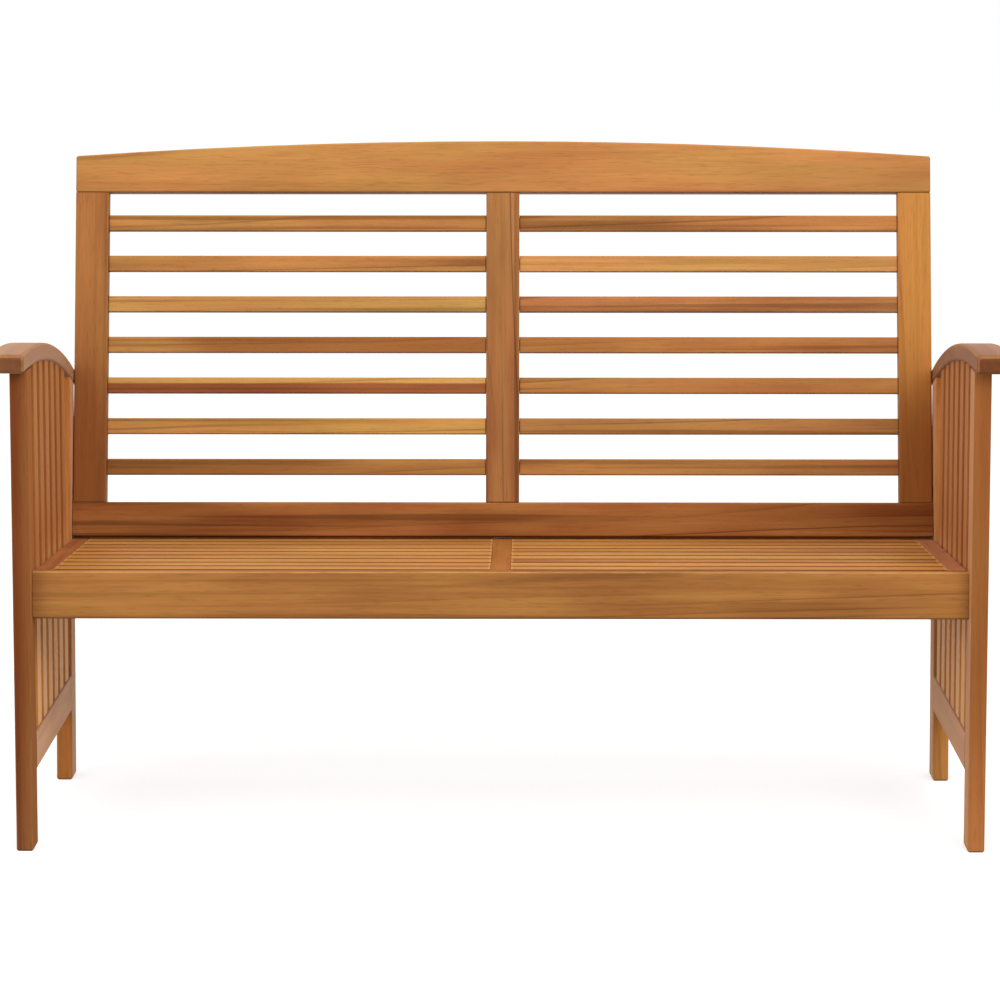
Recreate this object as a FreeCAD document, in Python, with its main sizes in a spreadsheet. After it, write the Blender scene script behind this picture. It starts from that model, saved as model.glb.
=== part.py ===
# Two-seat slatted garden bench in solid wood: two side frames carry a seat panel and a leaning back panel.
# Millimetres. +X runs along the bench, +Y from front to back, +Z up.
# The origin is on the ground, under the middle of the whole bench.
import FreeCAD, Part
import math
import os
import Sketcher
from FreeCAD import Vector

document = FreeCAD.newDocument("garden_bench")
sheet = document.addObject("Spreadsheet::Sheet", "Sizes")

# Driving dimensions
dimensions = {
    # side frames
    "clear_width": 1100.0,  # between the two side frames
    "leg_thickness": 20.0,
    "leg_depth": 45.0,
    "leg_spacing": 390.0,  # front of the front leg to front of the rear leg, on the ground
    "leg_rake": 3.3,  # degrees that the rear leg leans back
    "leg_rounding": 2.5,
    "foot_chamfer": 2.0,
    "leg_tenon_length": 10.0,
    "leg_tenon_thickness": 10.0,
    "leg_tenon_shoulder": 6.0,
    # lower side rail
    "side_rail_low": 89.0,
    "side_rail_height": 45.0,
    "side_rail_tenon_length": 25.0,
    "side_rail_tenon_thickness": 8.0,
    "side_rail_shoulder": 6.0,
    # armrest
    "arm_underside": 568.5,
    "arm_thickness": 22.0,
    "arm_width": 44.0,
    "arm_front_overhang": 24.0,
    "arm_bend_start": 46.0,
    "arm_bend_radius": 1340.0,  # of the underside
    "arm_rear_overhang": 47.0,  # past the foot of the rear leg
    "arm_rounding": 5.0,
    "arm_nose_radius": 7.0,  # of the front upper edge
    # upright slats of the side frames
    "side_slat_count": 6,
    "side_slat_front_gap": 35.0,  # from the front leg to the first slat
    "side_slat_rear_gap": 8.0,  # from the last slat to the foot of the rear leg, seen from above
    "side_slat_width": 32.0,
    "side_slat_thickness": 16.0,
    "side_slat_housing": 8.0,
    # seat panel
    "seat_height": 330.0,
    "seat_setback": 25.0,
    "seat_slope": 3.3,  # degrees
    "seat_extra_depth": 1.0,  # more than the spread over both legs
    "seat_clearance": 0.5,  # to each side frame
    "seat_rail_height": 56.0,
    "seat_rail_thickness": 20.0,
    "seat_side_rail_width": 22.0,
    "seat_centre_rail_width": 24.0,
    "seat_rail_rounding": 3.0,
    "seat_rail_tenon_length": 12.0,
    "seat_rail_tenon_thickness": 8.0,
    "seat_rail_tenon_height": 14.0,
    "seat_rail_tenon_inset": 6.0,
    "seat_slat_count": 9,
    "seat_slat_width": 30.0,
    "seat_slat_thickness": 14.0,
    "seat_slat_tenon_length": 9.0,
    # back panel
    "back_foot_setback": 28.0,  # behind the front edge of the rear leg on the ground
    "back_seat_gap": 0.5,  # under the rear corner of the back panel
    "back_lean": 11.5,  # degrees
    "back_clearance": 1.0,  # to each side frame, filled by a spacer at each bolt
    "back_thickness": 22.0,
    "back_rail_height": 44.0,
    "back_opening": 398.4,
    "top_rail_end_height": 47.3,
    "top_rail_crown": 19.5,  # rise of the arch over its ends
    "stile_width": 42.5,
    "back_rounding": 3.0,
    "stile_tenon_length": 18.0,
    "stile_tenon_thickness": 8.0,
    "stile_tenon_shoulder": 8.0,
    "back_slat_count": 7,
    "back_slat_first_gap": 35.2,
    "back_slat_last_gap": 28.9,
    "back_slat_height": 20.4,
    "back_slat_thickness": 12.0,
    "back_slat_tenon_length": 10.0,
    # slats in general
    "slat_rounding": 1.5,
    "slat_shoulder": 3.0,  # from the face of a slat to its tenon
    "slat_end_gap": 0.2,
    # fits
    "mortise_clearance": 0.2,  # on each side of a tenon
    "mortise_extra": 1.0,  # past the end of a tenon
    # connecting bolts, with barrel nuts in the panels
    "bolt_diameter": 6.0,
    "bolt_hole_diameter": 6.5,
    "bolt_length": 60.0,
    "rear_bolt_length": 50.0,
    "bolt_head_diameter": 15.0,
    "bolt_head_height": 2.2,
    "bolt_socket": 4.0,  # across the flats
    "bolt_socket_depth": 1.6,
    "counterbore_diameter": 16.0,
    "counterbore_depth": 2.5,
    "barrel_diameter": 10.0,
    "barrel_length": 12.0,
    "barrel_setback": 26.0,  # from the end of the board to the barrel nut's middle
    "barrel_clearance": 0.1,
    "thread_clearance": 0.1,
    "seat_bolt_drop": 27.0,  # below the seat surface
    "seat_rear_bolt_setback": 31.0,  # from the rear of the seat panel
    "seat_rear_bolt_drop": 34.0,
    "back_low_bolt": 16.0,  # up from the bottom of the back panel
    "back_high_bolt": 60.0,
    "spacer_diameter": 16.0,
    "nut_flats": 10.0,
    "nut_height": 5.0,
    "washer_diameter": 14.0,
    "washer_thickness": 1.6,
}


# A size keeps its present number together with the sheet expression that drives it
class Size:
    def __init__(self, value, text):
        self.value = value
        self.text = text

    def __add__(self, other):
        other = as_size(other)
        return Size(self.value + other.value, f"({self.text} + {other.text})")

    def __radd__(self, other):
        return as_size(other) + self

    def __sub__(self, other):
        other = as_size(other)
        return Size(self.value - other.value, f"({self.text} - {other.text})")

    def __rsub__(self, other):
        return as_size(other) - self

    def __mul__(self, other):
        other = as_size(other)
        return Size(self.value * other.value, f"({self.text} * {other.text})")

    def __rmul__(self, other):
        return as_size(other) * self

    def __truediv__(self, other):
        other = as_size(other)
        return Size(self.value / other.value, f"({self.text} / {other.text})")

    def __neg__(self):
        return Size(-self.value, f"(0 - {self.text})")


def as_size(number):
    return number if isinstance(number, Size) else Size(number, repr(number))


def sine(angle):
    return Size(math.sin(math.radians(angle.value)), f"sin({angle.text})")


def cosine(angle):
    return Size(math.cos(math.radians(angle.value)), f"cos({angle.text})")


def tangent(angle):
    return Size(math.tan(math.radians(angle.value)), f"tan({angle.text})")


def root(number):
    return Size(math.sqrt(number.value), f"sqrt({number.text})")


# The first answer where low is under high, else the second
def choose(low, high, below, above):
    text = f"({low.text} < {high.text} ? {below.text} : {above.text})"
    return Size(below.value if low.value < high.value else above.value, text)


class SizeBook:
    pass


size = SizeBook()
for row, (name, value) in enumerate(dimensions.items(), start=1):
    sheet.set(f"A{row}", name)
    sheet.set(f"B{row}", str(value))
    sheet.setAlias(f"B{row}", name)
    setattr(size, name, Size(value, f"Sizes.{name}"))
document.recompute()

zero = as_size(0)
along_x = Vector(1, 0, 0)
along_y = Vector(0, 1, 0)
along_z = Vector(0, 0, 1)


# Sketches: a body's own origin plane, moved along its normal by an offset
def sketch_on(body, role, name, offset=zero):
    sketch = body.newObject("Sketcher::SketchObject", name)
    plane = next(feature for feature in body.Origin.OriginFeatures if feature.Role == role)
    sketch.AttachmentSupport = (plane, [""])
    sketch.MapMode = "FlatFace"
    if offset is not zero:
        sketch.AttachmentOffset = FreeCAD.Placement(Vector(0, 0, offset.value), FreeCAD.Rotation())
        sketch.setExpression("AttachmentOffset.Base.z", offset.text)
    return sketch


def pin_point(sketch, geometry, end, x, y):
    for kind, value in (("DistanceX", x), ("DistanceY", y)):
        index = sketch.addConstraint(Sketcher.Constraint(kind, -1, 1, geometry, end, value.value))
        sketch.setExpression(f"Constraints[{index}]", value.text)


# A closed outline through the corners; arcs gives an edge's number its centre and radius
def outline(sketch, corners, arcs=None):
    arcs = arcs or {}
    ends = []
    for number, corner in enumerate(corners):
        following = corners[(number + 1) % len(corners)]
        start = Vector(corner[0].value, corner[1].value, 0)
        finish = Vector(following[0].value, following[1].value, 0)
        if number not in arcs:
            sketch.addGeometry(Part.LineSegment(start, finish))
            ends.append((1, 2))
            continue
        centre_x, centre_y, radius = arcs[number]
        centre = Vector(centre_x.value, centre_y.value, 0)
        first, last = (math.atan2(point.y - centre.y, point.x - centre.x) for point in (start, finish))
        turns_left = (start - centre).cross(finish - centre).z > 0
        ends.append((1, 2) if turns_left else (2, 1))
        circle = Part.Circle(centre, along_z, radius.value)
        sketch.addGeometry(Part.ArcOfCircle(circle, *((first, last) if turns_left else (last, first))))
        index = sketch.addConstraint(Sketcher.Constraint("Radius", number, radius.value))
        sketch.setExpression(f"Constraints[{index}]", radius.text)
    for number, corner in enumerate(corners):
        before = number - 1 if number else len(corners) - 1
        sketch.addConstraint(
            Sketcher.Constraint("Coincident", before, ends[before][1], number, ends[number][0]))
        pin_point(sketch, number, ends[number][0], *corner)
    return sketch


def rectangle(sketch, left, low, right, high):
    return outline(sketch, [(left, low), (right, low), (right, high), (left, high)])


def circle(sketch, x, y, diameter):
    sketch.addGeometry(Part.Circle(Vector(x.value, y.value, 0), along_z, diameter.value / 2))
    pin_point(sketch, 0, 3, x, y)
    index = sketch.addConstraint(Sketcher.Constraint("Diameter", 0, diameter.value))
    sketch.setExpression(f"Constraints[{index}]", diameter.text)
    return sketch


# Solids: pads and pockets run both ways from the sketch unless a direction is named
def extrude(kind, body, sketch, name, length, direction="both"):
    feature = body.newObject(kind, name)
    feature.Profile = sketch
    feature.setExpression("Length", length.text)
    feature.Midplane = direction == "both"
    feature.Reversed = direction == "back"
    return feature


def pad(body, sketch, name, length, direction="both"):
    return extrude("PartDesign::Pad", body, sketch, name, length, direction)


def pocket(body, sketch, name, length, direction="both"):
    return extrude("PartDesign::Pocket", body, sketch, name, length, direction)


# Rows of one cut at an even step along an axis of the body
def repeat(body, feature, role, step, count):
    axis = next(item for item in body.Origin.OriginFeatures if item.Role == role)
    pattern = body.newObject("PartDesign::LinearPattern", feature.Name + "_row")
    pattern.Originals = [feature]
    pattern.Direction = (axis, [""])
    pattern.setExpression("Length", (step * (count - 1)).text)
    pattern.setExpression("Occurrences", count.text)
    body.Tip = pattern
    return pattern


# Edge work on the solid made so far, on the edges that the test picks
def edge_work(kind, body, name, value, picks):
    document.recompute()
    base = body.Tip
    names = [f"Edge{number}" for number, edge in enumerate(base.Shape.Edges, start=1) if picks(edge)]
    feature = body.newObject(kind, name)
    feature.Base = (base, names)
    feature.setExpression("Radius" if kind.endswith("Fillet") else "Size", value.text)
    return feature


def round_edges(body, name, radius, picks):
    return edge_work("PartDesign::Fillet", body, name, radius, picks)


def runs_along(direction):
    def picks(edge):
        return abs(edge.tangentAt(edge.FirstParameter).dot(direction)) > 0.99
    return picks


def on_the_ground(edge):
    return edge.BoundBox.ZMax < 0.01


def every_edge(edge):
    return True


def new_body(label):
    body = document.addObject("PartDesign::Body", label)
    body.Label = label
    return body


def place(item, x, y, z, tilt=None):
    angle = -tilt.value if tilt else 0
    item.Placement = FreeCAD.Placement(Vector(x.value, y.value, z.value), FreeCAD.Rotation(along_x, angle))
    for axis, value in (("x", x), ("y", y), ("z", z)):
        item.setExpression(f"Placement.Base.{axis}", value.text)
    if tilt:
        item.setExpression("Placement.Rotation.Angle", (-tilt).text)


nodes = []


# The same piece for the other end of the bench
def mirrored(source, label):
    mirror = document.addObject("Part::Mirroring", label)
    mirror.Label = label
    mirror.Source = source
    mirror.Normal = along_x
    return mirror


def grouped(label, items):
    group = document.addObject("Part::Compound", label)
    group.Label = label
    group.Links = items
    nodes.append(group)


def both_ends(name, right):
    right.Label = f"right_{name}"
    nodes.extend([right, mirrored(right, f"left_{name}")])


# Places that several pieces share
frame_middle = size.clear_width / 2 + size.leg_thickness / 2
side_rail_high = size.side_rail_low + size.side_rail_height
bend_height = size.arm_underside - size.arm_bend_radius
seat_length = size.clear_width - size.seat_clearance * 2
back_half = size.clear_width / 2 - size.back_clearance
stile_middle = back_half - size.stile_width / 2
opening_top = size.back_rail_height + size.back_opening
panel_mid = size.back_thickness / 2
back_slat_pitch = ((size.back_opening - size.back_slat_first_gap - size.back_slat_last_gap
                    - size.back_slat_height) / (size.back_slat_count - 1))

# Seat, armrest, side slats and back all follow the spread of the legs
seat_depth = size.leg_spacing + size.leg_depth + size.seat_extra_depth
arm_rear_end = size.leg_spacing + size.leg_depth + size.arm_rear_overhang
back_foot_y = size.leg_spacing + size.back_foot_setback
side_slat_start = size.leg_depth + size.side_slat_front_gap
side_slat_pitch = ((size.leg_spacing - size.side_slat_rear_gap - size.side_slat_width - side_slat_start)
                   / (size.side_slat_count - 1))

# The back panel stands just over the seat, on its rear corner
lean_cosine = cosine(size.back_lean)
lean_sine = sine(size.back_lean)
back_corner = back_foot_y + size.back_thickness * lean_cosine
seat_under_corner = size.seat_height - (back_corner - size.seat_setback) * tangent(size.seat_slope)
back_foot_z = seat_under_corner + size.back_seat_gap + size.back_thickness * lean_sine

# The rear reach of the bench is the rounded top edge of the back panel at its crown
crown_height = opening_top + size.top_rail_end_height + size.top_rail_crown
rear_reach = (back_foot_y + size.back_thickness * lean_cosine + crown_height * lean_sine
              - size.back_rounding * (lean_cosine + lean_sine - 1))
depth_middle = (rear_reach - size.arm_front_overhang) / 2


# Height of the armrest's bend over a point of the side frame
def bend(y, radius):
    run = y - size.arm_bend_start
    return bend_height + root(radius * radius - run * run)


def underside(y):
    return choose(y, size.arm_bend_start, size.arm_underside, bend(y, size.arm_bend_radius))


# Where a line up the rear leg, from y on the ground, meets the bent underside of the armrest
def leg_top(y):
    rake = tangent(size.leg_rake)
    run = y - size.arm_bend_start
    radius = size.arm_bend_radius
    half_sum = bend_height - rake * run
    share = 1 + rake * rake
    gap = root(half_sum * half_sum - share * (run * run + bend_height * bend_height - radius * radius))
    height = (half_sum + gap) / share
    return y + rake * height, height


# A point of the seat panel or the back panel, as depth and height in the side frame
def seat_point(depth, rise):
    angle = size.seat_slope
    return (size.seat_setback + depth * cosine(angle) + rise * sine(angle),
            size.seat_height - depth * sine(angle) + rise * cosine(angle))


def back_point(depth, rise):
    return (back_foot_y + depth * lean_cosine + rise * lean_sine,
            back_foot_z - depth * lean_sine + rise * lean_cosine)


def place_in_frame(body):
    place(body, frame_middle, -depth_middle, zero)


def place_in_seat(body, x=zero):
    place(body, x, size.seat_setback - depth_middle, size.seat_height, size.seat_slope)


def place_in_back(body, x=zero):
    place(body, x, back_foot_y - depth_middle, back_foot_z, size.back_lean)


seat_front_bolt = seat_point(size.seat_rail_thickness / 2, -size.seat_bolt_drop)
seat_rear_bolt = seat_point(seat_depth - size.seat_rear_bolt_setback, -size.seat_rear_bolt_drop)
back_bolts = [back_point(panel_mid, size.back_low_bolt), back_point(panel_mid, size.back_high_bolt)]


# A counterbored bolt hole from the outer face of a leg
def bolt_hole(body, name, point):
    sketch = sketch_on(body, "YZ_Plane", name + "_circle", size.leg_thickness / 2)
    circle(sketch, point[0], point[1], size.bolt_hole_diameter)
    document.recompute()
    hole = body.newObject("PartDesign::Hole", name)
    hole.Profile = sketch
    hole.ThreadType = "None"
    hole.DepthType = "ThroughAll"
    hole.HoleCutType = "Counterbore"
    hole.HoleCutCustomValues = True
    hole.setExpression("Diameter", size.bolt_hole_diameter.text)
    hole.setExpression("HoleCutDiameter", size.counterbore_diameter.text)
    hole.setExpression("HoleCutDepth", size.counterbore_depth.text)


# Side frame: front leg
def front_leg():
    body = new_body("right_front_leg")
    sketch = sketch_on(body, "YZ_Plane", "front_leg_outline")
    rectangle(sketch, zero, zero, size.leg_depth, size.arm_underside)
    pad(body, sketch, "front_leg_blank", size.leg_thickness)
    round_edges(body, "front_leg_rounding", size.leg_rounding, runs_along(along_z))
    edge_work("PartDesign::Chamfer", body, "front_foot_chamfer", size.foot_chamfer, on_the_ground)
    sketch = sketch_on(body, "YZ_Plane", "front_leg_tenon_outline")
    rectangle(sketch, size.leg_tenon_shoulder, size.arm_underside - size.leg_tenon_length,
              size.leg_depth - size.leg_tenon_shoulder, size.arm_underside + size.leg_tenon_length)
    pad(body, sketch, "front_leg_tenon", size.leg_tenon_thickness)
    sketch = sketch_on(body, "YZ_Plane", "front_leg_mortise_outline")
    gap = size.mortise_clearance
    rectangle(sketch, size.leg_depth - size.side_rail_tenon_length - size.mortise_extra,
              size.side_rail_low + size.side_rail_shoulder - gap,
              size.leg_depth, side_rail_high - size.side_rail_shoulder + gap)
    pocket(body, sketch, "front_leg_mortise", size.side_rail_tenon_thickness + gap * 2)
    bolt_hole(body, "front_leg_bolt_hole", seat_front_bolt)
    place_in_frame(body)
    return body


# Side frame: raked rear leg, its top cut to the bend of the armrest
def rear_leg():
    body = new_body("right_rear_leg")
    front = size.leg_spacing
    rear = size.leg_spacing + size.leg_depth
    rear_top = leg_top(rear)
    front_top = leg_top(front)
    sketch = sketch_on(body, "YZ_Plane", "rear_leg_outline")
    top_arc = {2: (size.arm_bend_start, bend_height, size.arm_bend_radius)}
    outline(sketch, [(front, zero), (rear, zero), rear_top, front_top], top_arc)
    pad(body, sketch, "rear_leg_blank", size.leg_thickness)
    round_edges(body, "rear_leg_rounding", size.leg_rounding, runs_along(along_z))
    edge_work("PartDesign::Chamfer", body, "rear_foot_chamfer", size.foot_chamfer, on_the_ground)
    sketch = sketch_on(body, "YZ_Plane", "rear_leg_tenon_outline")
    tenon_front, tenon_rear, tenon_top = rear_leg_tenon()
    rectangle(sketch, tenon_front, rear_top[1] - size.leg_tenon_length, tenon_rear, tenon_top)
    pad(body, sketch, "rear_leg_tenon", size.leg_tenon_thickness)
    sketch = sketch_on(body, "YZ_Plane", "rear_leg_mortise_outline")
    gap = size.mortise_clearance
    rectangle(sketch, front, size.side_rail_low + size.side_rail_shoulder - gap,
              side_rail_rear_end() + size.mortise_extra, side_rail_high - size.side_rail_shoulder + gap)
    pocket(body, sketch, "rear_leg_mortise", size.side_rail_tenon_thickness + gap * 2)
    bolt_hole(body, "rear_leg_seat_hole", seat_rear_bolt)
    for number, point in enumerate(back_bolts, start=1):
        bolt_hole(body, f"rear_leg_back_hole_{number}", point)
    place_in_frame(body)
    return body


def rear_leg_tenon():
    front_top = leg_top(size.leg_spacing)
    rear_top = leg_top(size.leg_spacing + size.leg_depth)
    middle_height = (front_top[1] + rear_top[1]) / 2
    return (front_top[0] + size.leg_tenon_shoulder, rear_top[0] - size.leg_tenon_shoulder,
            middle_height + size.leg_tenon_length)


def side_rail_rear_end():
    return size.leg_spacing + side_rail_high * tangent(size.leg_rake) + size.side_rail_tenon_length


# Side frame: lower rail between the legs, with housings for the upright slats
def lower_side_rail():
    body = new_body("right_lower_side_rail")
    rake = tangent(size.leg_rake)
    low = size.side_rail_low
    sketch = sketch_on(body, "YZ_Plane", "side_rail_outline")
    outline(sketch, [(size.leg_depth, low), (size.leg_spacing + low * rake, low),
                     (size.leg_spacing + side_rail_high * rake, side_rail_high),
                     (size.leg_depth, side_rail_high)])
    pad(body, sketch, "side_rail_blank", size.leg_thickness)
    round_edges(body, "side_rail_rounding", size.leg_rounding, runs_along(along_y))
    sketch = sketch_on(body, "YZ_Plane", "side_rail_tenon_outline")
    rectangle(sketch, size.leg_depth - size.side_rail_tenon_length, low + size.side_rail_shoulder,
              side_rail_rear_end(), side_rail_high - size.side_rail_shoulder)
    pad(body, sketch, "side_rail_tenons", size.side_rail_tenon_thickness)
    gap = size.mortise_clearance
    sketch = sketch_on(body, "YZ_Plane", "side_rail_housing_outline")
    rectangle(sketch, side_slat_start - gap,
              side_rail_high - size.side_slat_housing - size.mortise_extra,
              side_slat_start + size.side_slat_width + gap, side_rail_high)
    housing = pocket(body, sketch, "side_rail_housing", size.side_slat_thickness + gap * 2)
    repeat(body, housing, "Y_Axis", side_slat_pitch, size.side_slat_count)
    place_in_frame(body)
    return body


def side_slat_front(number):
    return side_slat_start + side_slat_pitch * number


def side_slat_top(number):
    return underside(side_slat_front(number) + size.side_slat_width / 2) + size.side_slat_housing


# Side frame: armrest sawn to its bend, level in front and falling behind, flush with the frame inside
def armrest():
    body = new_body("right_armrest")
    outer_radius = size.arm_bend_radius + size.arm_thickness
    top = size.arm_underside + size.arm_thickness
    front = -size.arm_front_overhang
    start = size.arm_bend_start
    rear = arm_rear_end
    rear_underside = bend(rear, size.arm_bend_radius)
    nose = size.arm_nose_radius
    corners = [(front, size.arm_underside), (start, size.arm_underside), (rear, rear_underside),
               (rear, bend(rear, outer_radius)), (start, top), (front + nose, top), (front, top - nose)]
    bends = {1: (start, bend_height, size.arm_bend_radius), 3: (start, bend_height, outer_radius),
             5: (front + nose, top - nose, nose)}
    middle = size.arm_width / 2 - size.leg_thickness / 2
    sketch = outline(sketch_on(body, "YZ_Plane", "armrest_outline", middle), corners, bends)
    pad(body, sketch, "armrest_blank", size.arm_width)
    round_edges(body, "armrest_rounding", size.arm_rounding, every_edge)
    gap = size.mortise_clearance
    tenon_front, tenon_rear, tenon_top = rear_leg_tenon()
    sockets = [
        ("front_leg", size.leg_tenon_shoulder, size.leg_depth - size.leg_tenon_shoulder,
         size.arm_underside + size.leg_tenon_length, size.leg_tenon_thickness),
        ("rear_leg", tenon_front, tenon_rear, tenon_top, size.leg_tenon_thickness),
    ]
    for number in range(dimensions["side_slat_count"]):
        start = side_slat_front(number)
        sockets.append((f"slat_{number + 1}", start, start + size.side_slat_width,
                        side_slat_top(number), size.side_slat_thickness))
    for name, start, finish, top, thickness in sockets:
        sketch = sketch_on(body, "YZ_Plane", f"armrest_{name}_socket_outline")
        rectangle(sketch, start - gap, rear_underside, finish + gap, top + size.mortise_extra)
        pocket(body, sketch, f"armrest_{name}_socket", thickness + gap * 2)
    place_in_frame(body)
    return body


# Side frame: one upright slat, housed in the lower rail and in the armrest
def side_slat(number):
    body = new_body(f"right_side_slat_{number + 1}")
    start = side_slat_front(number)
    sketch = sketch_on(body, "YZ_Plane", "side_slat_outline")
    rectangle(sketch, start, side_rail_high - size.side_slat_housing,
              start + size.side_slat_width, side_slat_top(number))
    pad(body, sketch, "side_slat_blank", size.side_slat_thickness)
    round_edges(body, "side_slat_rounding", size.slat_rounding, runs_along(along_z))
    place_in_frame(body)
    return body


# Seat panel: twin tenons leave room for the bolt between them
rail_inset = size.seat_rail_tenon_inset
twin_tenons = [
    ("upper", -rail_inset - size.seat_rail_tenon_height, -rail_inset),
    ("lower", rail_inset - size.seat_rail_height,
     rail_inset + size.seat_rail_tenon_height - size.seat_rail_height),
]
seat_rails = [
    ("right", seat_length / 2 - size.seat_side_rail_width / 2),
    ("left", size.seat_side_rail_width / 2 - seat_length / 2),
    ("centre", zero),
]


# A board across the whole seat panel, with its inner face mortised for the rails
def seat_cross_rail(label, front, inner, into):
    body = new_body(label)
    sketch = sketch_on(body, "YZ_Plane", "cross_rail_section")
    rectangle(sketch, front, -size.seat_rail_height, front + size.seat_rail_thickness, zero)
    pad(body, sketch, "cross_rail_blank", seat_length)
    round_edges(body, "cross_rail_rounding", size.seat_rail_rounding, runs_along(along_x))
    gap = size.mortise_clearance
    deep = inner + into * (size.seat_rail_tenon_length + size.mortise_extra)
    for side, x in seat_rails:
        for level, low, high in twin_tenons:
            sketch = sketch_on(body, "YZ_Plane", f"{side}_{level}_mortise_outline", x)
            rectangle(sketch, inner, low - gap, deep, high + gap)
            pocket(body, sketch, f"{side}_{level}_mortise", size.seat_rail_tenon_thickness + gap * 2)
    place_in_seat(body)
    return body


# End bores for the connecting bolts, and cross bores from the rear face for their barrel nuts
def barrel_joint(body, name, half, height, middle, rear_face):
    bore_depth = size.bolt_length + size.mortise_extra
    nut_end = middle - size.barrel_length / 2 - size.barrel_clearance
    for side, sign, direction in (("right", 1, "forward"), ("left", -1, "back")):
        sketch = sketch_on(body, "YZ_Plane", f"{name}_{side}_bolt_circle", half * sign)
        circle(sketch, middle, height, size.bolt_hole_diameter)
        depth = bore_depth - size.leg_thickness + size.counterbore_depth
        pocket(body, sketch, f"{name}_{side}_bolt_bore", depth, direction)
        sketch = sketch_on(body, "XZ_Plane", f"{name}_{side}_nut_circle", -rear_face)
        circle(sketch, (half - size.barrel_setback) * sign, height,
               size.barrel_diameter + size.barrel_clearance * 2)
        pocket(body, sketch, f"{name}_{side}_nut_bore", rear_face - nut_end, "back")


def seat_front_rail():
    body = seat_cross_rail("seat_front_rail", zero, size.seat_rail_thickness, -1)
    barrel_joint(body, "front_rail", seat_length / 2, -size.seat_bolt_drop,
                 size.seat_rail_thickness / 2, size.seat_rail_thickness)
    nodes.append(body)


def seat_rear_rail():
    front = seat_depth - size.seat_rail_thickness
    nodes.append(seat_cross_rail("seat_rear_rail", front, front, 1))


# Even spaces between the slats and the two cross rails
seat_free_depth = seat_depth - size.seat_rail_thickness * 2
seat_slat_gap = (seat_free_depth - size.seat_slat_width * size.seat_slat_count) / (size.seat_slat_count + 1)
seat_slat_pitch = size.seat_slat_width + seat_slat_gap
first_seat_slat = size.seat_rail_thickness + seat_slat_gap


# A rail from front to back, with a row of mortises for the slats in each named face
def seat_rail(label, width, x, faces):
    body = new_body(label)
    front = size.seat_rail_thickness
    rear = seat_depth - size.seat_rail_thickness
    sketch = sketch_on(body, "YZ_Plane", "seat_rail_outline")
    rectangle(sketch, front, -size.seat_rail_height, rear, zero)
    pad(body, sketch, "seat_rail_blank", width)
    round_edges(body, "seat_rail_rounding", size.slat_rounding, runs_along(along_y))
    for level, low, high in twin_tenons:
        sketch = sketch_on(body, "YZ_Plane", f"seat_rail_{level}_tenon_outline")
        rectangle(sketch, front - size.seat_rail_tenon_length, low, rear + size.seat_rail_tenon_length, high)
        pad(body, sketch, f"seat_rail_{level}_tenons", size.seat_rail_tenon_thickness)
    gap = size.mortise_clearance
    shoulder = size.slat_shoulder
    for sign, direction in faces:
        sketch = sketch_on(body, "YZ_Plane", f"slat_mortise_outline_{direction}", width / 2 * sign)
        rectangle(sketch, first_seat_slat + shoulder - gap, shoulder - size.seat_slat_thickness - gap,
                  first_seat_slat + size.seat_slat_width - shoulder + gap, gap - shoulder)
        depth = size.seat_slat_tenon_length + size.mortise_extra
        mortise = pocket(body, sketch, f"slat_mortise_{direction}", depth, direction)
        repeat(body, mortise, "Y_Axis", seat_slat_pitch, size.seat_slat_count)
    place_in_seat(body, x)
    return body


def seat_side_rail():
    body = seat_rail("right_seat_side_rail", size.seat_side_rail_width, seat_rails[0][1], [(-1, "back")])
    sketch = sketch_on(body, "YZ_Plane", "rear_bolt_circle")
    circle(sketch, seat_depth - size.seat_rear_bolt_setback, -size.seat_rear_bolt_drop,
           size.bolt_hole_diameter)
    pocket(body, sketch, "rear_bolt_bore", size.seat_side_rail_width)
    return body


def seat_centre_rail():
    faces = [(-1, "back"), (1, "forward")]
    nodes.append(seat_rail("seat_centre_rail", size.seat_centre_rail_width, zero, faces))


# A slat drawn across its section and drawn out along X, with a tenon at each end
def slat(label, front, low, wide, high, inner, outer, tenon_length):
    body = new_body(label)
    length = outer - inner - size.slat_end_gap * 2
    shoulder = size.slat_shoulder
    sketch = sketch_on(body, "YZ_Plane", "slat_section")
    rectangle(sketch, front, low, front + wide, low + high)
    pad(body, sketch, "slat_blank", length)
    round_edges(body, "slat_rounding", size.slat_rounding, runs_along(along_x))
    sketch = sketch_on(body, "YZ_Plane", "slat_tenon_section")
    rectangle(sketch, front + shoulder, low + shoulder, front + wide - shoulder, low + high - shoulder)
    pad(body, sketch, "slat_tenons", length + tenon_length * 2)
    return body


def seat_slat(number):
    inner = size.seat_centre_rail_width / 2
    outer = seat_length / 2 - size.seat_side_rail_width
    front = first_seat_slat + seat_slat_pitch * number
    body = slat(f"right_seat_slat_{number + 1}", front, -size.seat_slat_thickness, size.seat_slat_width,
                size.seat_slat_thickness, inner, outer, size.seat_slat_tenon_length)
    place_in_seat(body, (inner + outer) / 2)
    return body


# Back panel: mortise for a stile in the edge of a rail
def stile_mortise(body, name, x, low, high):
    gap = size.mortise_clearance
    half = size.stile_tenon_thickness / 2 + gap
    sketch = sketch_on(body, "YZ_Plane", name + "_outline", x)
    rectangle(sketch, panel_mid - half, low, panel_mid + half, high)
    width = size.stile_width - size.stile_tenon_shoulder * 2 + gap * 2
    pocket(body, sketch, name, width)


stiles = [("right", stile_middle), ("centre", zero), ("left", -stile_middle)]


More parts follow.
